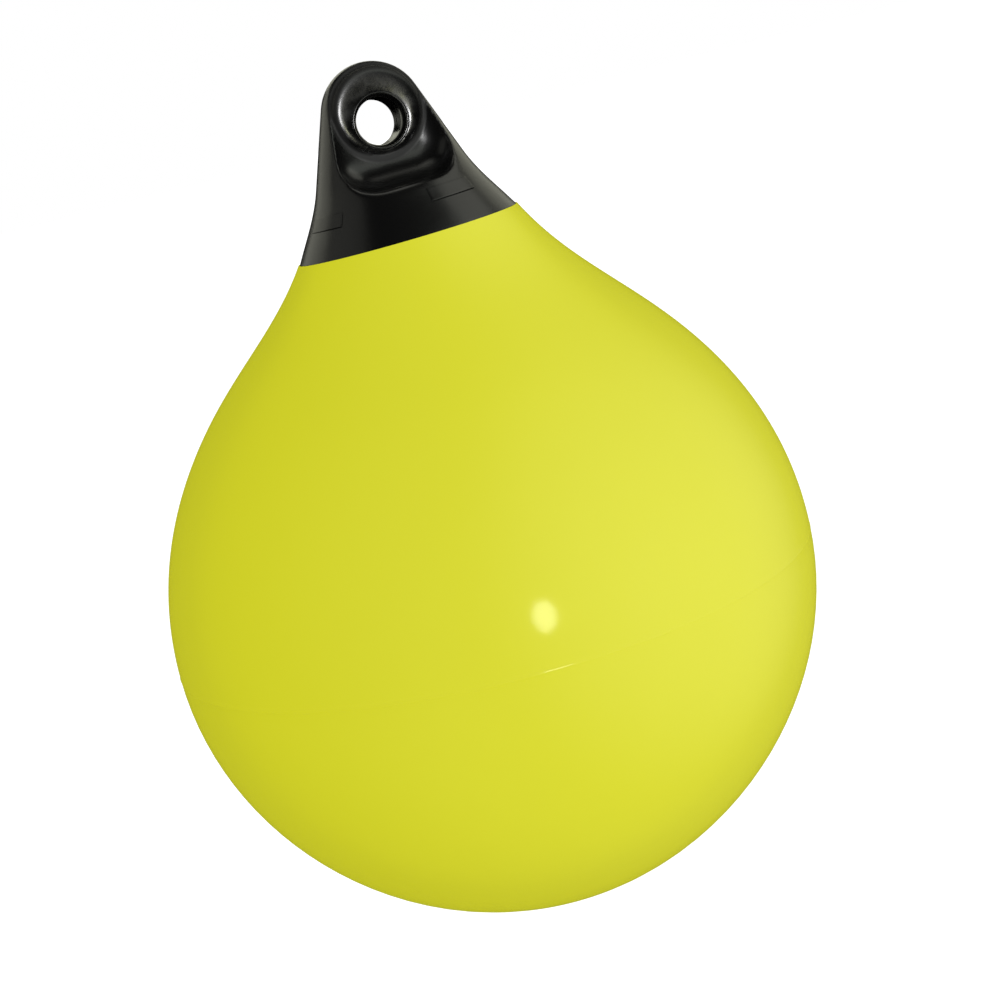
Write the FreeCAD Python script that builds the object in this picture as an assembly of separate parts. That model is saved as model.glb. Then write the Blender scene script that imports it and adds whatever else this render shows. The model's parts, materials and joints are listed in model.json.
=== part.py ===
"""Inflatable net buoy: a ball float with a moulded rope eye and an inflation valve.

Millimetres, +Z up. The origin is the centre of the ball, in the plane of its widest ring.
The rope eye's bore runs along Y, so the eye's faces look along -Y and +Y.
"""
import FreeCAD, Part
import math
import os

from FreeCAD import Rotation, Vector

# Float: a ball drawn up into a cone that narrows to the neck
BALL_R = 152.5            # widest ring, at z = 0
BALL_DROP = 151.0         # from the widest ring down to the bottom
SHOULDER_R = 107.5        # where the outline stops bulging and starts to hollow
SHOULDER_Z = 111.4
SHOULDER_LEAN = 41.6      # degrees between the outline and the vertical there
NECK_R = 52.2             # the shell's top rim
NECK_Z = 173.4
NECK_LEAN = 31.3
WALL = 3.0
CURVE_PULL = 0.356        # handle of each upper outline curve, as a share of its chord
QUARTER_PULL = 0.5523     # handle that makes a curve a quarter ellipse, as a share of its radius

# Rope eye: a bell-shaped foot under a flat rounded lobe
NECK_STEP = 0.6           # the shell's rim stands this much outside the bell
EYE_RISE = 52.6           # centre of the rope hole above the shell's rim
LOBE_R = 23.5             # rounded top of the lobe
LOBE_RISE = 4.1           # its centre above the hole's centre
FLANK_LEAN = 20.2         # straight sides of the lobe
FLANK_DROP = 22.0         # how far they reach below the hole's centre
BELL_LEAN = 30.5          # the bell's side where it meets the float
FACE_HALF = 7.8           # half the thickness of the lobe's web, level with the hole
FACE_LEAN = 5.5           # degrees that each face leans inwards going up
SCOOP_HALF_W = 28.0       # the scooped faces, seen along Y
SCOOP_DROP = 29.7
SCOOP_CORNER = 16.0
SCOOP_SWEEP = 12.0        # radius between a face and the ledge below it
FOOT_DEPTH = 12.0         # how far the bell's foot reaches down inside the neck
BOND = 0.05               # film between pieces that are bonded or pressed together
EYE_Z = NECK_Z + EYE_RISE

# Hole and collar
HOLE_R = 10.5
HOLE_LAND = 14.5          # straight length of the hole
RIM_R = 12.3              # the hole flares to this at each face
CREST_R = 15.5            # the collar is highest here and swells out to its foot
COLLAR_HALF = 12.5        # half the eye's thickness at the collar's crest
COLLAR_R = 24.0
COLLAR_FOOT_HALF = 5.0    # half the collar's thickness at its foot, inside the web
COLLAR_PULL = 0.45        # handle of the collar's outline, as a share of its width

# Inflation valve, on the shoulder behind the eye
VALVE_ALONG = 0.55        # share of the way up the hollow part of the outline
BOSS_R = 15.0
BOSS_RISE = 1.0           # flat pad above the shell
BOSS_DEPTH = 20.0
SEAT_R = 9.0
SEAT_DEPTH = 16.0
FLANGE_R = 11.5
FLANGE_H = 1.5
PLUG_R = 4.8
PLUG_CLEAR = 0.05
PLUG_DEPTH = 14.0
HEAD_R = 7.5
HEAD_H = 2.5
SLOT_W = 1.6
SLOT_DEPTH = 1.2

TOLERANCE = 0.01          # places nearer than this count as the same


def lean_direction(degrees):
    """Unit vector up an outline that leans inwards by this angle, in the XZ plane."""
    angle = math.radians(degrees)
    return Vector(-math.sin(angle), 0, math.cos(angle))


def outline_curve(start, start_lean, end, end_lean):
    """Smooth curve up the outline between two points with known leans."""
    handle = CURVE_PULL * start.distanceToPoint(end)
    curve = Part.BezierCurve()
    curve.setPoles([start, start + lean_direction(start_lean) * handle,
                    end - lean_direction(end_lean) * handle, end])
    return curve


def inset_point(radius, z, lean, inset):
    """Outline point moved inwards, square to the outline."""
    up = lean_direction(lean)
    return Vector(radius, 0, z) - Vector(up.z, 0, -up.x) * inset


def belly_curve(radius, drop):
    """Lower half of the ball's outline, a quarter ellipse from the widest ring to the axis."""
    curve = Part.BezierCurve()
    curve.setPoles([Vector(radius, 0, 0), Vector(radius, 0, -QUARTER_PULL * drop),
                    Vector(QUARTER_PULL * radius, 0, -drop), Vector(0, 0, -drop)])
    return curve


def float_outline(inset):
    """Belly and neck curves of the float, moved inwards by inset."""
    belly = Vector(BALL_R - inset, 0, 0)
    shoulder = inset_point(SHOULDER_R, SHOULDER_Z, SHOULDER_LEAN, inset)
    neck = inset_point(NECK_R, NECK_Z, NECK_LEAN, inset)
    return (outline_curve(belly, 0, shoulder, SHOULDER_LEAN),
            outline_curve(shoulder, SHOULDER_LEAN, neck, NECK_LEAN))


def neck_inner_radius(inset):
    """Radius of the neck's inner face in the plane of the rim."""
    neck = inset_point(NECK_R, NECK_Z, NECK_LEAN, inset)
    return neck.x - (NECK_Z - neck.z) * math.tan(math.radians(NECK_LEAN))


def line(start, end):
    return Part.LineSegment(start, end).toShape()


def revolved(edges, axis=Vector(0, 0, 1)):
    """Solid of revolution about an axis through the origin."""
    wire = Part.Wire(Part.__sortEdges__(edges))
    return Part.Face(wire).revolve(Vector(0, 0, 0), axis, 360)


def one_solid(shape):
    solids = shape.removeSplitter().Solids
    assert len(solids) == 1, "a piece came out as %d solids" % len(solids)
    return solids[0]


def valve_place():
    """Placement whose Z runs out of the shell along the valve, on the +Y side."""
    curve = float_outline(0)[1]
    point = curve.value(VALVE_ALONG)
    up = curve.tangent(VALVE_ALONG)[0]
    outward = Vector(0, up.z, -up.x)
    turn = Rotation(Vector(0, 0, 1), outward)
    return FreeCAD.Placement(Vector(0, point.x, point.z), turn)


def cylinder(radius, bottom, top):
    return Part.makeCylinder(radius, top - bottom, Vector(0, 0, bottom))


def float_body(inset):
    """Solid of the float's outline moved inwards by inset, open to the rim's plane."""
    belly, neck = float_outline(inset)
    rim = Vector(neck_inner_radius(inset), 0, NECK_Z)
    bottom = Vector(0, 0, inset - BALL_DROP)
    top = Vector(0, 0, NECK_Z)
    edges = [belly_curve(BALL_R - inset, BALL_DROP - inset).toShape(),
             belly.toShape(),
             neck.toShape(),
             line(rim, top),
             line(top, bottom)]
    if inset:
        edges.append(line(neck.EndPoint, rim))
    return revolved(edges)


def make_float_shell():
    """Hollow ball and cone with a thick boss where the valve goes through."""
    place = valve_place()
    boss = cylinder(BOSS_R, -BOSS_DEPTH, BOSS_RISE)
    boss.Placement = place
    hole = cylinder(SEAT_R + BOND, -BOSS_DEPTH - WALL, BOSS_RISE + WALL)
    hole.Placement = place
    shell = float_body(0).cut(float_body(WALL))
    return one_solid(shell.fuse(boss).cut(hole))


def neck_foot():
    """The rope eye's foot, which fills the neck from the rim down and follows its inner face."""
    return float_body(WALL + BOND).common(cylinder(BALL_R, NECK_Z - FOOT_DEPTH, NECK_Z))


def bell_blank():
    """The rope eye above the rim, before its faces and hole are cut: a body of revolution."""
    lean = math.radians(FLANK_LEAN)
    lobe_z = EYE_Z + LOBE_RISE
    tangent = Vector(LOBE_R * math.cos(lean), 0, lobe_z + LOBE_R * math.sin(lean))
    flank_z = EYE_Z - FLANK_DROP
    flank = Vector(tangent.x + (tangent.z - flank_z) * math.tan(lean), 0, flank_z)
    bell_foot = Vector(NECK_R - NECK_STEP, 0, NECK_Z)
    half_turn = (math.pi / 2 + lean) / 2
    crown = Vector(LOBE_R * math.cos(half_turn), 0, lobe_z + LOBE_R * math.sin(half_turn))
    top = Vector(0, 0, lobe_z + LOBE_R)
    centre = Vector(0, 0, NECK_Z)
    edges = [line(bell_foot, centre),
             line(centre, top),
             Part.Arc(top, crown, tangent).toShape(),
             line(tangent, flank),
             outline_curve(bell_foot, BELL_LEAN, flank, FLANK_LEAN).toShape()]
    return revolved(edges)


def scoop_tool():
    """What is scooped out of the -Y side: a flat leaning face swept into a level ledge."""
    floor_z = EYE_Z - SCOOP_DROP
    open_z = EYE_Z + LOBE_RISE + 2 * LOBE_R
    reach = BALL_R
    corner_z = floor_z + SCOOP_CORNER
    corner_x = SCOOP_HALF_W - SCOOP_CORNER
    turn = SCOOP_CORNER * math.sqrt(0.5)
    sides = []
    for side in (-1, 1):
        outer = Vector(side * SCOOP_HALF_W, -FACE_HALF, corner_z)
        middle = Vector(side * (corner_x + turn), -FACE_HALF, corner_z - turn)
        inner = Vector(side * corner_x, -FACE_HALF, floor_z)
        sides.append(line(Vector(side * SCOOP_HALF_W, -FACE_HALF, open_z), outer))
        sides.append(Part.Arc(outer, middle, inner).toShape())
    floor = line(Vector(-corner_x, -FACE_HALF, floor_z), Vector(corner_x, -FACE_HALF, floor_z))
    lid = line(Vector(-SCOOP_HALF_W, -FACE_HALF, open_z), Vector(SCOOP_HALF_W, -FACE_HALF, open_z))
    outline = Part.Wire(Part.__sortEdges__(sides + [floor, lid]))
    outline.rotate(Vector(0, -FACE_HALF, EYE_Z), Vector(1, 0, 0), -FACE_LEAN)
    block = Part.Face(outline).extrude(Vector(0, -reach, 0))
    top = block.BoundBox.ZMax
    swept = [edge for edge in outline.Edges if edge.BoundBox.ZMin < top - TOLERANCE]
    return block.makeFillet(SCOOP_SWEEP, swept)


def collar_blank():
    """Ring that swells out of both faces around the hole, with no edge at its crest or foot."""
    pull = Vector(COLLAR_PULL * (COLLAR_R - CREST_R), 0, 0)
    edges = []
    for side in (-1, 1):
        crest = Vector(CREST_R, side * COLLAR_HALF, 0)
        foot = Vector(COLLAR_R, side * COLLAR_FOOT_HALF, 0)
        swell = Part.BezierCurve()
        swell.setPoles([crest, crest + pull, foot - pull, foot])
        edges.append(swell.toShape())
        edges.append(line(Vector(0, side * COLLAR_HALF, 0), crest))
    edges.append(line(Vector(0, -COLLAR_HALF, 0), Vector(0, COLLAR_HALF, 0)))
    edges.append(line(Vector(COLLAR_R, -COLLAR_FOOT_HALF, 0), Vector(COLLAR_R, COLLAR_FOOT_HALF, 0)))
    return revolved(edges, Vector(0, 1, 0))


def hole_tool():
    """The rope hole: straight in the middle and flared at both faces."""
    land = HOLE_LAND / 2
    flare = COLLAR_HALF - land
    edges = [line(Vector(0, -COLLAR_HALF, 0), Vector(0, COLLAR_HALF, 0)),
             line(Vector(HOLE_R, -land, 0), Vector(HOLE_R, land, 0))]
    for side in (-1, 1):
        start = Vector(HOLE_R, side * land, 0)
        middle = Vector(HOLE_R + (RIM_R - HOLE_R) / 4, side * (land + flare / 2), 0)
        end = Vector(RIM_R, side * COLLAR_HALF, 0)
        edges.append(Part.Arc(start, middle, end).toShape())
        edges.append(line(end, Vector(0, side * COLLAR_HALF, 0)))
    return revolved(edges, Vector(0, 1, 0))


def make_eye_cap():
    """Solid moulded rope eye whose foot is bonded inside the float's neck."""
    front = scoop_tool()
    back = front.mirror(Vector(0, 0, 0), Vector(0, 1, 0))
    collar = collar_blank()
    hole = hole_tool()
    for piece in (collar, hole):
        piece.translate(Vector(0, 0, EYE_Z))
    eye = bell_blank().fuse(neck_foot()).cut(front).cut(back).fuse(collar).cut(hole)
    return one_solid(eye)


def make_valve_seat():
    """Flanged tube bonded into the boss, bored for the plug."""
    flange_top = BOSS_RISE + BOND + FLANGE_H
    tube = cylinder(SEAT_R, -SEAT_DEPTH, flange_top)
    flange = cylinder(FLANGE_R, BOSS_RISE + BOND, flange_top)
    bore = cylinder(PLUG_R + PLUG_CLEAR, -SEAT_DEPTH, flange_top)
    seat = tube.fuse(flange).cut(bore)
    seat.Placement = valve_place()
    return one_solid(seat)


def make_valve_plug():
    """Screw that closes the valve, with a slot across its head for a coin."""
    under_head = BOSS_RISE + BOND + FLANGE_H + BOND
    head_top = under_head + HEAD_H
    shank = cylinder(PLUG_R, under_head - PLUG_DEPTH, under_head)
    head = cylinder(HEAD_R, under_head, head_top)
    slot = Part.makeBox(4 * HEAD_R, SLOT_W, HEAD_H)
    slot.translate(Vector(-2 * HEAD_R, -SLOT_W / 2, head_top - SLOT_DEPTH))
    plug = shank.fuse(head).cut(slot)
    plug.Placement = valve_place()
    return one_solid(plug)


PIECES = {
    "float_shell": make_float_shell,
    "eye_cap": make_eye_cap,
    "valve_seat": make_valve_seat,
    "valve_plug": make_valve_plug,
}

os.makedirs("parts", exist_ok=True)
for name, make in PIECES.items():
    shape = make()
    assert shape.isValid(), "%s isn't a valid solid" % name
    shape.exportStep("parts/%s.step" % name)
    print("%-12s volume %.1f cm3" % (name, shape.Volume / 1000))
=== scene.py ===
"""Looks of the inflatable net buoy: float, rope eye, valve, floor, light and camera.

Metres, +Z up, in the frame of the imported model: the origin is the centre of the ball.
"""
import json
import math

import bpy
from mathutils import Matrix, Vector


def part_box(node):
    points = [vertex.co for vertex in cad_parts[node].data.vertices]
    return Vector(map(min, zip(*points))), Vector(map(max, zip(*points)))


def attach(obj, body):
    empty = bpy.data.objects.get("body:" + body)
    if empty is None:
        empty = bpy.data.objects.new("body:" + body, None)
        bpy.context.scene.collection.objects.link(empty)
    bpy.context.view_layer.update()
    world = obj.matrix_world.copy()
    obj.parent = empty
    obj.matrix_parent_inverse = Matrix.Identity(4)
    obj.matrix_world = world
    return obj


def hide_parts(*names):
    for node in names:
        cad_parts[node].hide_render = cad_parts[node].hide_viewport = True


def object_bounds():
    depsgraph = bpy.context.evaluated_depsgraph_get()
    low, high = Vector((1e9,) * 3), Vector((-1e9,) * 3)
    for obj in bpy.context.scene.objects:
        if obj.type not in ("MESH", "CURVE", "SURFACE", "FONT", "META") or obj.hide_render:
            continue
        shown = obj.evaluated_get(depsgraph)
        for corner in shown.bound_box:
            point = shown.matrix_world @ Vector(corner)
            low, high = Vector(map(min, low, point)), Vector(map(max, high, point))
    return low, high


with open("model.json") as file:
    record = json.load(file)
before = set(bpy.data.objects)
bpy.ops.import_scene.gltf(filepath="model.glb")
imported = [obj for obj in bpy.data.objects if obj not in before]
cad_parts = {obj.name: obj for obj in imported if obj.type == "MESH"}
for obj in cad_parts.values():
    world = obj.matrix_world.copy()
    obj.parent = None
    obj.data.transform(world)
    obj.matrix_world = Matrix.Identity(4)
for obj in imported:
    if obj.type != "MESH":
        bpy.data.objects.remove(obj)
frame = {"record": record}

cad_low, cad_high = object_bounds()

# --- Float ---------------------------------------------------------------------------------
# The float is one hollow skin of soft vinyl, cast in a turning mould and blown up hard.
# The mould's halves meet round the widest ring, where they leave a low wavy line, and a thick
# flat boss stands on the shoulder behind the eye, where the valve is screwed in.
MM = 0.001
shell_low, shell_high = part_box("float_shell")
BALL_R = shell_high.x
NECK_Z = shell_high.z
SHOULDER = Vector((107.5 * MM, 0, 111.4 * MM))
SHOULDER_LEAN = math.radians(41.6)
NECK = Vector((52.2 * MM, 0, NECK_Z))
NECK_LEAN = math.radians(31.3)
WALL = 3 * MM
CURVE_PULL = 0.356          # handle of an upper curve, as a share of its chord
QUARTER_PULL = 0.54         # handle of the lower quarter, as a share of its radius
OUTLINE_STEPS = 32
FLOAT_STEPS = 288           # steps in one turn of the float
SEAM_HALF = 0.9 * MM
SEAM_RISE = 0.12 * MM
SEAM_STEPS = 6
SEAM_WANDER = 0.2 * MM
WANDER_WAVES = ((61, 0), (38, 1), (23, 4))      # waves in one turn, and the angle they start at
SWELL_WAVES = ((47, 2), (17, 0))
SEAM_SWELL = 0.3            # each swelling wave's height, as a share of the bead's
VALVE_ALONG = 0.55          # share of the way from the shoulder to the neck
BOSS_R = 15 * MM
BOSS_RISE = 1 * MM
BOSS_DEPTH = 20 * MM
BOSS_SKIRT = 7 * MM
SEAT_HOLE_R = 9.05 * MM
LEAN = math.radians(3.1)
LEAN_AXIS = Vector((-0.8, -0.6, 0))
LEAN_ABOUT = Vector((0, 0, 207 * MM))
LEAN_FROM = 100 * MM        # below this height the ball is true
SAME_POINT = 0.01 * MM      # points no further apart than this are one
SMOOTH_TO = math.radians(35)    # edges blunter than this are shaded smooth


def up_outline(lean):
    """Direction up an outline that leans inwards by this angle."""
    return Vector((-math.sin(lean), 0, math.cos(lean)))


def pick(piece, parts, wanted):
    """Enters edit mode with only those edges or polygons selected whose middle is wanted."""
    bpy.ops.object.mode_set(mode="OBJECT")
    mesh = piece.data
    for every in (mesh.vertices, mesh.edges, mesh.polygons):
        every.foreach_set("select", [False] * len(every))
    for part in getattr(mesh, parts):
        if parts == "edges":
            middle = sum((mesh.vertices[i].co for i in part.vertices), Vector()) / 2
        else:
            middle = part.center
        part.select = wanted(middle)
    bpy.context.tool_settings.mesh_select_mode = (False, parts == "edges", parts == "polygons")
    bpy.ops.object.mode_set(mode="EDIT")


def spun_outline(name, points, steps):
    """Closed mesh, turned about Z from outline points of (place, handle before, handle after)."""
    bpy.ops.object.select_all(action="DESELECT")
    bpy.ops.curve.primitive_bezier_curve_add()
    piece = bpy.context.object
    piece.name = name
    piece.data.resolution_u = OUTLINE_STEPS
    spline = piece.data.splines[0]
    spline.bezier_points.add(len(points) - 2)
    for point, (place, before, after) in zip(spline.bezier_points, points):
        point.handle_left_type = "FREE"
        point.handle_right_type = "FREE"
        point.co = place
        point.handle_left = before
        point.handle_right = after
    bpy.ops.object.convert(target="MESH")
    bpy.ops.object.mode_set(mode="EDIT")
    bpy.ops.mesh.select_all(action="SELECT")
    bpy.ops.mesh.remove_doubles(threshold=SAME_POINT / 10)
    bpy.ops.mesh.spin(steps=steps, angle=math.tau, center=(0, 0, 0), axis=(0, 0, 1))
    bpy.ops.mesh.select_all(action="SELECT")
    bpy.ops.mesh.remove_doubles(threshold=SAME_POINT)
    bpy.ops.mesh.normals_make_consistent(inside=False)
    bpy.ops.object.mode_set(mode="OBJECT")
    return piece


def finish_modifier(piece, kind, **settings):
    """Adds a modifier, sets it and applies it."""
    bpy.ops.object.select_all(action="DESELECT")
    piece.select_set(True)
    bpy.context.view_layer.objects.active = piece
    modifier = piece.modifiers.new(kind.title(), kind)
    for setting, value in settings.items():
        setattr(modifier, setting, value)
    bpy.ops.object.modifier_apply(modifier=modifier.name)


def cut_or_join(piece, tool, operation):
    """Boolean with a tool that is then thrown away."""
    finish_modifier(piece, "BOOLEAN", operation=operation, object=tool, solver="EXACT")
    bpy.data.objects.remove(tool)


def add_cylinder(radius, bottom, top, place=Matrix.Identity(4), sides=96):
    """Cylinder about the Z of a place, from bottom to top along it."""
    bpy.ops.object.select_all(action="DESELECT")
    bpy.ops.mesh.primitive_cylinder_add(vertices=sides, radius=radius, depth=top - bottom)
    tool = bpy.context.object
    tool.data.transform(place @ Matrix.Translation((0, 0, (bottom + top) / 2)))
    return tool


def share(value, start, end):
    """How far a value has got from start to end, kept between 0 and 1."""
    return min(1, max(0, (value - start) / (end - start)))


def leaned(place):
    """Where a place comes to with the neck and the eye aslant, as on any soft float."""
    turned = LEAN_ABOUT + Matrix.Rotation(LEAN, 3, LEAN_AXIS) @ (place - LEAN_ABOUT)
    return place.lerp(turned, share(place.z, LEAN_FROM, NECK_Z) ** 3)


belly = Vector((BALL_R, 0, 0))
bottom = Vector((0, 0, shell_low.z))
belly_reach = CURVE_PULL * (SHOULDER - belly).length
neck_reach = CURVE_PULL * (NECK - SHOULDER).length
shoulder_up = up_outline(SHOULDER_LEAN)
neck_up = up_outline(NECK_LEAN)
shoulder_handle = SHOULDER + shoulder_up * neck_reach
neck_handle = NECK - neck_up * neck_reach
float_shell = spun_outline("float_skin", [
    (bottom, bottom, bottom + Vector((QUARTER_PULL * BALL_R, 0, 0))),
    (belly, belly + Vector((0, 0, QUARTER_PULL * shell_low.z)),
     belly + Vector((0, 0, belly_reach))),
    (SHOULDER, SHOULDER - shoulder_up * belly_reach, shoulder_handle),
    (NECK, neck_handle, NECK)], FLOAT_STEPS)


def waves_at(turn, waves):
    """Sum of some waves at one place round the ring."""
    return sum(math.sin(count * turn + start) for count, start in waves)


# Parting line: the ring at the widest place is widened into a band and raised to a low bead,
# which wanders and swells a little on its way round. The band's own edges stay where they are.
pick(float_shell, "edges", lambda middle: abs(middle.z) < SAME_POINT)
bpy.ops.mesh.bevel(offset=SEAM_HALF, segments=SEAM_STEPS)
bpy.ops.object.mode_set(mode="OBJECT")
for vertex in float_shell.data.vertices:
    if abs(vertex.co.z) < SEAM_HALF - SAME_POINT:
        turn = math.atan2(vertex.co.y, vertex.co.x)
        wander = waves_at(turn, WANDER_WAVES) / len(WANDER_WAVES)
        swell = 1 + SEAM_SWELL * waves_at(turn, SWELL_WAVES)
        bead = (1 + math.cos(math.pi * vertex.co.z / SEAM_HALF)) / 2
        ring = math.hypot(vertex.co.x, vertex.co.y)
        vertex.co *= (ring + SEAM_RISE * swell * bead) / ring
        vertex.co.z += SEAM_WANDER * wander * bead
for vertex in float_shell.data.vertices:
    vertex.co = leaned(vertex.co)

# Valve boss: the valve stands square to the hollow curve between the shoulder and the neck. The
# skin round it is drawn out to a flat pad with a soft skirt.
hollow = (SHOULDER, shoulder_handle, neck_handle, NECK)
gone, to_go = VALVE_ALONG, 1 - VALVE_ALONG
place_weights = (to_go ** 3, 3 * gone * to_go ** 2, 3 * gone * gone * to_go, gone ** 3)
slope_weights = (to_go ** 2, 2 * gone * to_go, gone * gone)
valve_point = sum((point * weight for point, weight in zip(hollow, place_weights)), Vector())
valve_up = sum(((end - start) * weight for start, end, weight in zip(
    hollow, hollow[1:], slope_weights)), Vector()).normalized()
valve_axis = Vector((0, valve_up.z, -valve_up.x))
valve_base = Vector((0, valve_point.x, valve_point.z))
valve_place = (Matrix.Translation(valve_base)
               @ valve_axis.to_track_quat("Z", "X").to_matrix().to_4x4())
for vertex in float_shell.data.vertices:
    away = vertex.co - valve_base
    along = away.dot(valve_axis)
    aside = (away - valve_axis * along).length
    if aside < BOSS_R + BOSS_SKIRT and abs(along) < BOSS_R:
        fade = share(aside, BOSS_R + BOSS_SKIRT, BOSS_R)
        vertex.co += valve_axis * (BOSS_RISE - along) * fade * fade * (3 - 2 * fade)

finish_modifier(float_shell, "SOLIDIFY", thickness=WALL, offset=-1, use_even_offset=True)
boss = add_cylinder(BOSS_R, -BOSS_DEPTH, -WALL / 2, valve_place)
cut_or_join(float_shell, boss, "UNION")
seat_hole = add_cylinder(SEAT_HOLE_R, -BOSS_DEPTH - WALL, 4 * WALL, valve_place)
cut_or_join(float_shell, seat_hole, "DIFFERENCE")
bpy.ops.object.shade_smooth_by_angle(angle=SMOOTH_TO)


def linear(colour):
    """Linear RGBA of an sRGB hex colour."""
    parts = [int(colour[i:i + 2], 16) / 255 for i in (1, 3, 5)]
    return [p / 12.92 if p <= 0.04045 else ((p + 0.055) / 1.055) ** 2.4 for p in parts] + [1]


def add_node(material, kind, settings=None, inputs=None):
    """One more node in a material: settings are its own, and inputs take values or sockets."""
    node = material.node_tree.nodes.new(kind)
    for name, value in (settings or {}).items():
        setattr(node, name, value)
    for name, value in (inputs or {}).items():
        if isinstance(value, bpy.types.NodeSocket):
            material.node_tree.links.new(value, node.inputs[name])
        else:
            node.inputs[name].default_value = value
    return node


def new_material(name):
    """New material with no nodes yet."""
    material = bpy.data.materials.new(name)
    material.use_nodes = True
    material.node_tree.nodes.clear()
    return material


def wear(piece, material):
    """Gives a piece its one material."""
    piece.data.materials.clear()
    piece.data.materials.append(material)


# Yellow soft vinyl, cast against a polished mould: an even, slightly green yellow all through,
# with a wet-looking gloss that long waves and a faint orange peel of the skin break up a little.
CLOUD = 60 * MM
WAVE = 14 * MM
WAVE_RISE = 0.05 * MM
PEEL = 2.2 * MM
PEEL_RISE = 0.012 * MM
yellow = new_material("yellow_cast_vinyl")
place = add_node(yellow, "ShaderNodeTexCoord").outputs["Object"]
clouds = add_node(yellow, "ShaderNodeTexNoise", {}, {
    "Vector": place, "Scale": 1 / CLOUD, "Detail": 3, "Roughness": 0.5})
tint = add_node(yellow, "ShaderNodeMix", {"data_type": "RGBA"}, {
    0: clouds.outputs["Fac"], 6: linear("#d3d323"), 7: linear("#d6d626")})
peel = add_node(yellow, "ShaderNodeTexNoise", {}, {
    "Vector": place, "Scale": 1 / PEEL, "Detail": 2, "Roughness": 0.45})
waves = add_node(yellow, "ShaderNodeTexNoise", {}, {
    "Vector": place, "Scale": 1 / WAVE, "Detail": 1})
bump = add_node(yellow, "ShaderNodeBump", {}, {
    "Height": waves.outputs["Fac"], "Strength": 1, "Distance": WAVE_RISE})
bump = add_node(yellow, "ShaderNodeBump", {}, {
    "Height": peel.outputs["Fac"], "Strength": 1, "Distance": PEEL_RISE,
    "Normal": bump.outputs["Normal"]})
shader = add_node(yellow, "ShaderNodeBsdfPrincipled", {}, {
    "Base Color": tint.outputs[2], "Roughness": 0.1, "IOR": 1.5,
    "Normal": bump.outputs["Normal"]})
add_node(yellow, "ShaderNodeOutputMaterial", {}, {"Surface": shader.outputs[0]})
wear(float_shell, yellow)
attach(float_shell, "root")
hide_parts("float_shell")

# --- Rope eye ------------------------------------------------------------------------------
# The eye is one solid moulding of black vinyl: a bell that seats on the float's rim under a
# flat rounded lobe. Both faces of the lobe are scooped out, and a swollen collar stands round
# the rope hole. Its foot is welded inside the neck.
eye_low, eye_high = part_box("eye_cap")
rope_eye = next(mount for mount in frame["record"]["mounts"] if mount["name"] == "rope_eye")
EYE = Vector(rope_eye["pos_m"])
HOLE_R = rope_eye["dims"]["r_mm"] * MM
HOLE_LAND = rope_eye["dims"]["length_mm"] * MM
BELL_R = NECK.x - 0.6 * MM
BELL_LEAN = math.radians(30.5)
BELL_SKIRT = 4 * MM         # extra length below the rim, cut off once the form is smooth
FLANK_LEAN = math.radians(20.2)
FLANK_DROP = 22 * MM
LOBE_R = 23.5 * MM
FACE_HALF = 8.5 * MM
FACE_SLOPE = math.tan(math.radians(8))
SCOOP_HALF_W = 28 * MM
SCOOP_DROP = 29.4 * MM
SCOOP_CORNER = 16 * MM
SCOOP_SWEEP = 14 * MM
RIM_R = 12.3 * MM
RIM_HALF = 12 * MM
CREST_R = 15.9 * MM
CREST_HALF = 12.5 * MM
COLLAR_FOOT_R = 20.5 * MM
COLLAR_RISE = 4.4 * MM      # how far the collar's foot is centred above the hole
COLLAR_FOOT_HALF = 7 * MM
COLLAR_SIDE_PULL = 4.3 * MM     # handles of the collar's outline, from its foot to the hole
CREST_PULL_OUT = 4.4 * MM
CREST_PULL_IN = 1.5 * MM
RIM_PULL = (1 * MM, 0.25 * MM)
HOLE_PULL = (0, 2 * MM)     # handles of the flare from the hole to its rim
FLARE_PULL = (-0.8 * MM, -2 * MM)
THINNER_BELOW = 0.12        # share by which the collar thins out below the hole
FOOT_R = 48.4 * MM
FOOT_LOW_R = 56.2 * MM
EYE_STEPS = 160
COLLAR_STEPS = 96
SCOOP_STEPS = 16
CELL = 0.7 * MM             # size of the cells that the soft form is rebuilt in
RELAX = 0.5
RELAX_TIMES = 8
SCOOP_LIP_DROP = 22 * MM    # from here down the scoop's lip is rounded further
SCOOP_LIP_FADE = 4 * MM
SCOOP_LIP_TIMES = 120
EYE_SMOOTH_TO = math.radians(50)    # high enough to hide the cells' own steps
NEAR = 0.1 * MM             # an edge no further from a plane than this lies on it

lobe = Vector((0, 0, eye_high.z - LOBE_R))
tangent = lobe + Vector((math.cos(FLANK_LEAN), 0, math.sin(FLANK_LEAN))) * LOBE_R
flank_up = up_outline(FLANK_LEAN)
bell_up = up_outline(BELL_LEAN)
flank = tangent - flank_up * (tangent.z - (EYE.z - FLANK_DROP)) / math.cos(FLANK_LEAN)
bell_foot = Vector((BELL_R, 0, NECK_Z))
bell_reach = CURVE_PULL * (flank - bell_foot).length
arc_reach = LOBE_R * 4 / 3 * math.tan((math.pi / 2 - FLANK_LEAN) / 4)
skirt = bell_foot - bell_up * BELL_SKIRT
skirt_middle = Vector((0, 0, skirt.z))
top = Vector((0, 0, eye_high.z))
eye_cap = spun_outline("rope_eye_moulding", [
    (skirt_middle, skirt_middle, skirt_middle),
    (skirt, skirt, skirt),
    (bell_foot, bell_foot, bell_foot + bell_up * bell_reach),
    (flank, flank - flank_up * bell_reach, flank),
    (tangent, tangent, tangent + flank_up * arc_reach),
    (top, top + Vector((arc_reach, 0, 0)), top)], EYE_STEPS)

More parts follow.
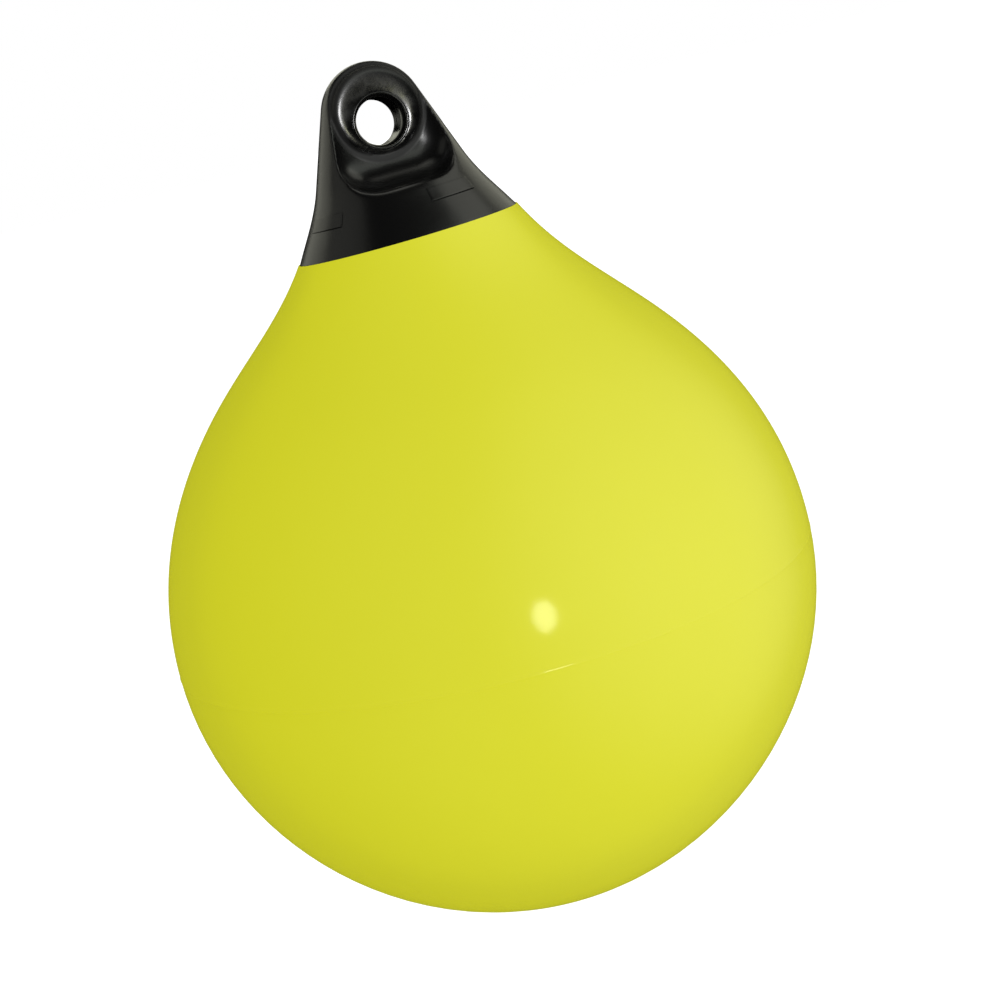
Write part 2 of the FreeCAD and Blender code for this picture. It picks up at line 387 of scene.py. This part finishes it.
# Scoops: each is cut by a block with rounded lower corners, whose inner edges sweep outwards.
scoop_floor = EYE.z - SCOOP_DROP
scoop_top = eye_high.z + SCOOP_SWEEP
for side in (-1, 1):
    bpy.ops.object.select_all(action="DESELECT")
    bpy.ops.mesh.primitive_cube_add(size=1)
    tool = bpy.context.object
    size = (2 * SCOOP_HALF_W, BALL_R, scoop_top - scoop_floor)
    centre = (0, side * (FACE_HALF + BALL_R / 2), (scoop_top + scoop_floor) / 2)
    tool.data.transform(Matrix.Translation(centre) @ Matrix.Diagonal((*size, 1)))
    for vertex in tool.data.vertices:
        if abs(vertex.co.y) < 2 * FACE_HALF:
            vertex.co.y = side * (FACE_HALF - (vertex.co.z - EYE.z) * FACE_SLOPE)
    pick(tool, "edges", lambda middle: abs(middle.z - scoop_floor) < NEAR
         and abs(abs(middle.x) - SCOOP_HALF_W) < NEAR)
    bpy.ops.mesh.bevel(offset=SCOOP_CORNER, segments=SCOOP_STEPS, clamp_overlap=False)
    pick(tool, "edges", lambda middle: middle.z < scoop_top - NEAR
         and abs(abs(middle.y) - FACE_HALF + (middle.z - EYE.z) * FACE_SLOPE) < NEAR)
    bpy.ops.mesh.bevel(offset=SCOOP_SWEEP, segments=SCOOP_STEPS, clamp_overlap=False)
    bpy.ops.mesh.select_all(action="SELECT")
    bpy.ops.mesh.remove_doubles(threshold=SAME_POINT)
    bpy.ops.mesh.normals_make_consistent(inside=False)
    bpy.ops.object.mode_set(mode="OBJECT")
    cut_or_join(eye_cap, tool, "DIFFERENCE")

# Collar and rope hole: turned upright, then laid along Y at the hole.
lay_along_y = Matrix.Translation(EYE) @ Matrix.Rotation(math.pi / 2, 4, "X")


def point_at(radius, height, before=(0, 0), after=(0, 0)):
    """Outline point with its two handles, each given from the point."""
    place = Vector((radius, 0, height))
    return (place, place + Vector((before[0], 0, before[1])),
            place + Vector((after[0], 0, after[1])))


def both_halves(upper):
    """Whole outline from its upper half, mirrored in the middle plane."""
    lower = [tuple(Vector((p.x, 0, -p.z)) for p in (place, after, before))
             for place, before, after in reversed(upper)]
    return lower + upper


def lay_down(piece):
    """Lays a form turned about Z along Y at the hole, a little thinner below it."""
    for vertex in piece.data.vertices:
        vertex.co.z *= 1 - THINNER_BELOW * (min(0, vertex.co.y) / CREST_R) ** 2
    piece.data.transform(lay_along_y)


collar = spun_outline("collar", both_halves([
    point_at(COLLAR_FOOT_R, COLLAR_FOOT_HALF, after=(0, COLLAR_SIDE_PULL)),
    point_at(CREST_R, CREST_HALF, before=(CREST_PULL_OUT, 0), after=(-CREST_PULL_IN, 0)),
    point_at(RIM_R, RIM_HALF, before=RIM_PULL),
    point_at(0, RIM_HALF)]), COLLAR_STEPS)
for vertex in collar.data.vertices:
    vertex.co.y += COLLAR_RISE * share(math.hypot(vertex.co.x, vertex.co.y), RIM_R, CREST_R)
lay_down(collar)
cut_or_join(eye_cap, collar, "UNION")
beyond = 2 * CREST_HALF
hole = spun_outline("hole", both_halves([
    point_at(HOLE_R, HOLE_LAND / 2, after=HOLE_PULL),
    point_at(RIM_R, RIM_HALF, before=FLARE_PULL),
    point_at(RIM_R, beyond),
    point_at(0, beyond)]), COLLAR_STEPS)
lay_down(hole)
cut_or_join(eye_cap, hole, "DIFFERENCE")

# A soft moulding has no sharp edge: the form is rebuilt in fine even cells and relaxed.
finish_modifier(eye_cap, "REMESH", mode="VOXEL", voxel_size=CELL)
finish_modifier(eye_cap, "SMOOTH", factor=RELAX, iterations=RELAX_TIMES)
soft = eye_cap.vertex_groups.new(name="lip")
lip_top = EYE.z - SCOOP_LIP_DROP
for vertex in eye_cap.data.vertices:
    soft.add([vertex.index], share(vertex.co.z, lip_top, lip_top - SCOOP_LIP_FADE), "REPLACE")
finish_modifier(eye_cap, "SMOOTH", factor=RELAX, iterations=SCOOP_LIP_TIMES, vertex_group="lip")

# The skirt is cut off at the float's rim, and the welded foot is drawn down inside the neck.
bpy.ops.object.mode_set(mode="EDIT")
bpy.ops.mesh.select_all(action="SELECT")
bpy.ops.mesh.bisect(plane_co=(0, 0, NECK_Z), plane_no=(0, 0, 1), use_fill=True, clear_inner=True)
pick(eye_cap, "polygons", lambda middle: middle.z < NECK_Z + SAME_POINT)
bpy.ops.mesh.inset(thickness=BELL_R - FOOT_R)
bpy.ops.mesh.extrude_region_move(TRANSFORM_OT_translate={"value": (0, 0, eye_low.z - NECK_Z)})
bpy.ops.transform.resize(value=(FOOT_LOW_R / FOOT_R, FOOT_LOW_R / FOOT_R, 1),
                         center_override=(0, 0, eye_low.z))
bpy.ops.object.mode_set(mode="OBJECT")


def join_into(piece, parts):
    """Makes parts a part of the piece's own mesh."""
    bpy.ops.object.select_all(action="DESELECT")
    for part in parts:
        part.select_set(True)
    piece.select_set(True)
    bpy.context.view_layer.objects.active = piece
    bpy.ops.object.join()


# Fine raised lip round both ends of the hole, where the mould's core pin met its faces.
LIP_R = 0.7 * MM
LIP_RING_R = RIM_R + 0.3 * LIP_R
LIP_SIDES = 12
lips = []
for side in (-1, 1):
    bpy.ops.object.select_all(action="DESELECT")
    bpy.ops.mesh.primitive_torus_add(major_radius=LIP_RING_R, minor_radius=LIP_R,
                                     major_segments=EYE_STEPS, minor_segments=LIP_SIDES)
    lip = bpy.context.object
    lip.data.transform(Matrix.Translation((0, 0, side * RIM_HALF)))
    lay_down(lip)
    lips.append(lip)

# Blank raised panels round the bell, where a maker would put a name.
PANEL_HEIGHT = 6 * MM
PANEL_ABOVE_RIM = 13 * MM
PANEL_SPAN = math.radians(32)
PANEL_RISE = 0.45 * MM
PANEL_THICK = 1.35 * MM
PANEL_EDGE = 0.25 * MM
PANEL_COUNT = 4
PANEL_FIRST = math.radians(-67.5)
PANEL_CELLS = (28, 10)
EDGE_STEPS = 3
panels = []
for index in range(PANEL_COUNT):
    bpy.ops.object.select_all(action="DESELECT")
    bpy.ops.mesh.primitive_grid_add(x_subdivisions=PANEL_CELLS[0],
                                    y_subdivisions=PANEL_CELLS[1], size=1)
    panel = bpy.context.object
    for vertex in panel.data.vertices:
        turn = PANEL_FIRST + index * math.tau / PANEL_COUNT + vertex.co.x * PANEL_SPAN
        height = NECK_Z + PANEL_ABOVE_RIM + (vertex.co.y + 0.5) * PANEL_HEIGHT
        ring = BELL_R - (height - NECK_Z) * math.tan(BELL_LEAN)
        vertex.co = (ring * math.cos(turn), ring * math.sin(turn), height)
    finish_modifier(panel, "SHRINKWRAP", target=eye_cap, offset=PANEL_RISE,
                    wrap_method="NEAREST_SURFACEPOINT", wrap_mode="ABOVE_SURFACE")
    finish_modifier(panel, "SOLIDIFY", thickness=PANEL_THICK, offset=-1)
    finish_modifier(panel, "BEVEL", width=PANEL_EDGE, segments=EDGE_STEPS, limit_method="ANGLE")
    panels.append(panel)
join_into(eye_cap, lips + panels)
for vertex in eye_cap.data.vertices:
    vertex.co = leaned(vertex.co)
bpy.ops.object.shade_smooth_by_angle(angle=EYE_SMOOTH_TO)

# Black vinyl, moulded against plain steel: very dark, and glossy in clouds where ropes have
# polished the collar, more even and satin over the bell, with dull dust in the collar's groove.
RIPPLE = 7 * MM
RIPPLE_RISE = 0.08 * MM
GRAIN = 0.8 * MM
GRAIN_RISE = 0.01 * MM
DUST_R = COLLAR_FOOT_R + 0.2 * MM
DUST_HALF = 1 * MM
DUST_END = 2.2 * MM
POLISHED = 0.13             # roughness where it shines most, and so on to the dust
RUBBED = 0.34
SATIN = 0.27
DUSTY = 0.7
black = new_material("black_moulded_vinyl")
place = add_node(black, "ShaderNodeTexCoord").outputs["Object"]
ripple = add_node(black, "ShaderNodeTexNoise", {}, {
    "Vector": place, "Scale": 1 / RIPPLE, "Detail": 3, "Roughness": 0.5})
grain = add_node(black, "ShaderNodeTexNoise", {}, {
    "Vector": place, "Scale": 1 / GRAIN, "Detail": 2})
bump = add_node(black, "ShaderNodeBump", {}, {
    "Height": ripple.outputs["Fac"], "Strength": 1, "Distance": RIPPLE_RISE})
bump = add_node(black, "ShaderNodeBump", {}, {
    "Height": grain.outputs["Fac"], "Strength": 1, "Distance": GRAIN_RISE,
    "Normal": bump.outputs["Normal"]})
clouds = add_node(black, "ShaderNodeMapRange", {}, {
    "Value": ripple.outputs["Fac"], "From Min": 0.35, "From Max": 0.65,
    "To Min": POLISHED, "To Max": RUBBED})
rings = []                  # how far off, across the face, the hole's and the collar's middles are
for centre in (leaned(EYE), leaned(EYE + Vector((0, 0, COLLAR_RISE)))):
    away = add_node(black, "ShaderNodeVectorMath", {"operation": "SUBTRACT"}, {
        0: place, 1: centre})
    away = add_node(black, "ShaderNodeVectorMath", {"operation": "MULTIPLY"}, {
        0: away.outputs["Vector"], 1: (1, 0, 1)})
    away = add_node(black, "ShaderNodeVectorMath", {"operation": "LENGTH"}, {
        0: away.outputs["Vector"]})
    rings.append(away.outputs["Value"])
from_hole, from_collar = rings
unworn = add_node(black, "ShaderNodeMapRange", {}, {
    "Value": from_hole, "From Min": CREST_R, "From Max": COLLAR_FOOT_R})
rough = add_node(black, "ShaderNodeMix", {"data_type": "FLOAT"}, {
    0: unworn.outputs["Result"], 2: clouds.outputs["Result"], 3: SATIN})
beside = add_node(black, "ShaderNodeMath", {"operation": "SUBTRACT"}, {
    0: from_collar, 1: DUST_R})
beside = add_node(black, "ShaderNodeMath", {"operation": "ABSOLUTE"}, {0: beside.outputs[0]})
dust = add_node(black, "ShaderNodeMapRange", {}, {
    "Value": beside.outputs[0], "From Min": DUST_HALF, "From Max": DUST_END,
    "To Min": 1, "To Max": 0})
rough = add_node(black, "ShaderNodeMix", {"data_type": "FLOAT"}, {
    0: dust.outputs["Result"], 2: rough.outputs[0], 3: DUSTY})
shader = add_node(black, "ShaderNodeBsdfPrincipled", {}, {
    "Base Color": linear("#050505"), "Roughness": rough.outputs[0], "IOR": 1.54,
    "Normal": bump.outputs["Normal"]})
add_node(black, "ShaderNodeOutputMaterial", {}, {"Surface": shader.outputs[0]})
wear(eye_cap, black)
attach(eye_cap, "root")
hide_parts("eye_cap")

# --- Valve seat ----------------------------------------------------------------------------
# The seat is a flanged tube of black nylon, pressed and bonded into the boss. Its flange lies
# on the boss's flat pad, and its bore takes the plug.
FLANGE_R = 11.5 * MM
FLANGE_TOP = 2.55 * MM
FLANGE_H = 1.5 * MM
SEAT_R = 9 * MM
SEAT_DEPTH = 16 * MM
BORE_R = 4.85 * MM
FLANGE_EDGE = 0.35 * MM
VALVE_SIDES = 128
valve_seat = add_cylinder(FLANGE_R, FLANGE_TOP - FLANGE_H, FLANGE_TOP, sides=VALVE_SIDES)
valve_seat.name = "valve_seat_flanged"
pick(valve_seat, "polygons", lambda middle: middle.z < FLANGE_TOP - FLANGE_H + SAME_POINT)
bpy.ops.mesh.inset(thickness=FLANGE_R - SEAT_R)
bpy.ops.mesh.extrude_region_move(TRANSFORM_OT_translate={
    "value": (0, 0, FLANGE_H - FLANGE_TOP - SEAT_DEPTH)})
bpy.ops.object.mode_set(mode="OBJECT")
bore = add_cylinder(BORE_R, -2 * SEAT_DEPTH, SEAT_DEPTH)
cut_or_join(valve_seat, bore, "DIFFERENCE")
finish_modifier(valve_seat, "BEVEL", width=FLANGE_EDGE, segments=EDGE_STEPS, limit_method="ANGLE")
valve_seat.data.transform(valve_place)
bpy.ops.object.shade_smooth_by_angle(angle=SMOOTH_TO)

# Black nylon, moulded against spark-etched steel: harder and greyer than the vinyl, with an
# even satin sheen that a fine grain scatters.
ETCH = 0.35 * MM
ETCH_RISE = 0.02 * MM
nylon = new_material("black_moulded_nylon")
place = add_node(nylon, "ShaderNodeTexCoord").outputs["Object"]
grain = add_node(nylon, "ShaderNodeTexNoise", {}, {
    "Vector": place, "Scale": 1 / ETCH, "Detail": 3})
bump = add_node(nylon, "ShaderNodeBump", {}, {
    "Height": grain.outputs["Fac"], "Strength": 1, "Distance": ETCH_RISE})
rough = add_node(nylon, "ShaderNodeMapRange", {}, {
    "Value": grain.outputs["Fac"], "To Min": 0.38, "To Max": 0.52})
shader = add_node(nylon, "ShaderNodeBsdfPrincipled", {}, {
    "Base Color": linear("#141414"), "Roughness": rough.outputs["Result"], "IOR": 1.53,
    "Normal": bump.outputs["Normal"]})
add_node(nylon, "ShaderNodeOutputMaterial", {}, {"Surface": shader.outputs[0]})
wear(valve_seat, nylon)
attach(valve_seat, "root")
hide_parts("valve_seat")

# --- Valve plug ----------------------------------------------------------------------------
# The plug is a short nylon screw with a low round head. A coin turns it by the slot.
HEAD_R = 7.5 * MM
HEAD_LOW = 2.6 * MM
HEAD_H = 2.5 * MM
PLUG_R = 4.8 * MM
PLUG_DEPTH = 14 * MM
SLOT_W = 1.6 * MM
SLOT_DEPTH = 1.2 * MM
HEAD_EDGE = 0.3 * MM
valve_plug = add_cylinder(HEAD_R, HEAD_LOW, HEAD_LOW + HEAD_H, sides=VALVE_SIDES)
valve_plug.name = "valve_plug_slotted"
pick(valve_plug, "polygons", lambda middle: middle.z < HEAD_LOW + SAME_POINT)
bpy.ops.mesh.inset(thickness=HEAD_R - PLUG_R)
bpy.ops.mesh.extrude_region_move(TRANSFORM_OT_translate={"value": (0, 0, -PLUG_DEPTH)})
bpy.ops.object.mode_set(mode="OBJECT")
bpy.ops.object.select_all(action="DESELECT")
bpy.ops.mesh.primitive_cube_add(size=1)
slot = bpy.context.object
slot.data.transform(Matrix.Translation((0, 0, HEAD_LOW + HEAD_H)) @ Matrix.Diagonal(
    (4 * HEAD_R, SLOT_W, 2 * SLOT_DEPTH, 1)))
cut_or_join(valve_plug, slot, "DIFFERENCE")
finish_modifier(valve_plug, "BEVEL", width=HEAD_EDGE, segments=EDGE_STEPS, limit_method="ANGLE")
valve_plug.data.transform(valve_place)
bpy.ops.object.shade_smooth_by_angle(angle=SMOOTH_TO)
wear(valve_plug, nylon)
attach(valve_plug, "root")
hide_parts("valve_plug")

# --- Floor, light and camera ---------------------------------------------------------------
# The buoy hangs over a plain pale floor, far enough up that its soft shadow falls clear of it.
# The light is white and even, and a little stronger from the right.
VIEW_FROM = Vector((-0.2287, -0.9905, 0.2629))
AIM = Vector((0.0123, 0.0068, 0.0449))
VIEW_ROLL = math.radians(-13.8)
LENS = 80.9
FLOOR_DROP = 0.3
FLOOR_SIZE = 30
FLOOR_GLOW = 0.12           # its own glow lifts it to the backdrop's white,
FLOOR_GLOW_SEEN = 0.4       # and more so where the camera sees it
bpy.ops.object.select_all(action="DESELECT")
bpy.ops.mesh.primitive_plane_add(size=FLOOR_SIZE, location=(0, 0, cad_low.z - FLOOR_DROP))
floor = bpy.context.object
floor.name = "floor"
paper = new_material("pale_floor")
white = add_node(paper, "ShaderNodeBsdfDiffuse", {}, {"Color": linear("#f2f2f2")})
rays = add_node(paper, "ShaderNodeLightPath")
level = add_node(paper, "ShaderNodeMapRange", {}, {
    "Value": rays.outputs["Is Camera Ray"], "To Min": FLOOR_GLOW, "To Max": FLOOR_GLOW_SEEN})
glow = add_node(paper, "ShaderNodeEmission", {}, {"Strength": level.outputs["Result"]})
lit = add_node(paper, "ShaderNodeAddShader", {}, {0: white.outputs[0], 1: glow.outputs[0]})
add_node(paper, "ShaderNodeOutputMaterial", {}, {"Surface": lit.outputs[0]})
wear(floor, paper)
floor.visible_glossy = False


def way_to(right_deg, up_deg):
    """Unit vector from the ball, turned right from the camera and raised above the horizon."""
    turn = math.atan2(VIEW_FROM.y, VIEW_FROM.x) + math.radians(right_deg)
    rise = math.radians(up_deg)
    level = math.cos(rise)
    return Vector((math.cos(turn) * level, math.sin(turn) * level, math.sin(rise)))


# A tent that only reflections see, glowing on its own: bright on the right, fading all round to a
# dim left, with a yellow glow behind the buoy, a painted reflection that keeps the edge of the
# float from going dark.
TENT_R = 4
TENT_RINGS = 48
DIM_GLOW = (0.024, 0.024, 0.024)
bpy.ops.object.select_all(action="DESELECT")
bpy.ops.mesh.primitive_uv_sphere_add(radius=TENT_R, segments=2 * TENT_RINGS,
                                     ring_count=TENT_RINGS)
tent = bpy.context.object
tent.name = "cloth_tent"
glow_material = new_material("lit_tent_cloth")
spot = add_node(glow_material, "ShaderNodeTexCoord").outputs["Object"]
total = DIM_GLOW
# Lobes of painted glow, each by its way, where it starts and ends brightening, and its radiance;
# the last is the yellow one.
for right_deg, up_deg, dark_at, bright_at, radiance in (
        (65, 5, 0.23, 1.1, (0.76, 0.76, 0.76)),
        (33, 8, -0.85, 1.1, (0.43, 0.43, 0.43)),
        (180, -14, 0.55, 0.95, (0.36, 0.36, 0))):
    facing = add_node(glow_material, "ShaderNodeVectorMath", {"operation": "DOT_PRODUCT"}, {
        0: spot, 1: way_to(right_deg, up_deg) / TENT_R})
    glow = add_node(glow_material, "ShaderNodeMapRange", {"interpolation_type": "SMOOTHSTEP"}, {
        "Value": facing.outputs["Value"], "From Min": dark_at, "From Max": bright_at})
    total = add_node(glow_material, "ShaderNodeVectorMath", {"operation": "MULTIPLY_ADD"}, {
        0: glow.outputs["Result"], 1: radiance, 2: total}).outputs["Vector"]
glow = add_node(glow_material, "ShaderNodeEmission", {}, {"Color": total})
add_node(glow_material, "ShaderNodeOutputMaterial", {}, {"Surface": glow.outputs[0]})
wear(tent, glow_material)
tent.visible_camera = False
tent.visible_diffuse = False
tent.visible_transmission = False
tent.visible_shadow = False

# The world is plain white where it is seen or mirrored, and lights the buoy at a plain level.
AMBIENT = 0.97
world = bpy.data.worlds.new("white_studio")
bpy.context.scene.world = world
world.use_nodes = True
world.node_tree.nodes.clear()
rays = add_node(world, "ShaderNodeLightPath")
seen = add_node(world, "ShaderNodeMath", {"operation": "MAXIMUM"}, {
    0: rays.outputs["Is Camera Ray"], 1: rays.outputs["Is Glossy Ray"]})
seen = add_node(world, "ShaderNodeMath", {"operation": "MAXIMUM"}, {
    0: seen.outputs[0], 1: rays.outputs["Is Transmission Ray"]})
level = add_node(world, "ShaderNodeMapRange", {}, {
    "Value": seen.outputs[0], "To Min": AMBIENT, "To Max": 1.0})
light = add_node(world, "ShaderNodeBackground", {}, {
    "Color": (1, 1, 1, 1), "Strength": level.outputs["Result"]})
add_node(world, "ShaderNodeOutputWorld", {}, {"Surface": light.outputs[0]})


def add_lamp(name, aim, right_deg, up_deg, distance, width, height, radiance, tint=(1, 1, 1)):
    """Oval lamp that looks at its aim from this way off."""
    way = way_to(right_deg, up_deg)
    bpy.ops.object.light_add(type="AREA", location=aim + way * distance,
                             rotation=(-way).to_track_quat("-Z", "Y").to_euler())
    lamp = bpy.context.object
    lamp.name = name
    lamp.data.shape = "ELLIPSE"
    lamp.data.size = width
    lamp.data.size_y = height
    lamp.data.energy = radiance * math.pi * math.pi * width * height / 4
    lamp.data.color = tint
    lamp.visible_camera = False
    return lamp


def light_only(source, pieces):
    """Keeps a light for these pieces alone."""
    lit = bpy.data.collections.new(source.name + "_lights")
    for piece in pieces:
        lit.objects.link(piece)
    source.light_linking.receiver_collection = lit


light_only(tent, [float_shell, valve_seat, valve_plug])
ball = Vector((0, 0, 0))

# A soft side light shades the float from the right, and a warm flash leaves one oval spot on it.
side_light = add_lamp("side_light", ball, right_deg=63, up_deg=-6, distance=2,
                      width=1.6, height=1.6, radiance=1.344)
side_light.visible_glossy = False
add_lamp("flash", ball, right_deg=14.1, up_deg=1.3, distance=3.15,
         width=0.43, height=0.57, radiance=6.9, tint=(1, 1, 0.68))

# The black eye shows only what it mirrors, so it has cards and windows of its own: a flash for
# the round of its collar, strips behind for its edges, windows for the scoop and the bell, and
# a card overhead for the scoop's lower lip.
for name, right_deg, up_deg, distance, width, height, radiance, tint in (
        ("flash_on_eye", 3, 7, 3.15, 0.55, 0.6, 78, (1, 1, 1)),
        ("left_edge_strip", -130, 10, 1, 0.8, 0.9, 0.65, (1, 1, 0.85)),
        ("right_edge_strip", 138, 10, 1, 0.75, 0.9, 0.75, (1, 1, 0.82)),
        ("back_strip", 180, 22, 1, 0.9, 0.5, 1.0, (1, 1, 0.82)),
        ("high_right_window", 48, 34, 1, 1.6, 0.5, 1.1, (0.95, 1, 0.9)),
        ("side_window", 97, 42, 1, 0.7, 0.7, 1.0, (1, 1, 0.88)),
        ("left_window", -84, 34, 1, 0.8, 0.8, 0.32, (1, 1, 0.9)),
        ("overhead_card", 180, 82, 1, 0.5, 0.5, 1.0, (1, 1, 0.9))):
    lamp = add_lamp(name, EYE, right_deg, up_deg, distance, width, height, radiance, tint)
    light_only(lamp, [eye_cap])

bpy.ops.object.camera_add(location=VIEW_FROM)
camera = bpy.context.object
camera.name = "camera"
camera.data.lens = LENS
camera.rotation_euler = ((AIM - VIEW_FROM).to_track_quat("-Z", "Y").to_matrix()
                         @ Matrix.Rotation(VIEW_ROLL, 3, "Z")).to_euler()
bpy.context.scene.camera = camera
bpy.context.scene.view_settings.view_transform = "Standard"
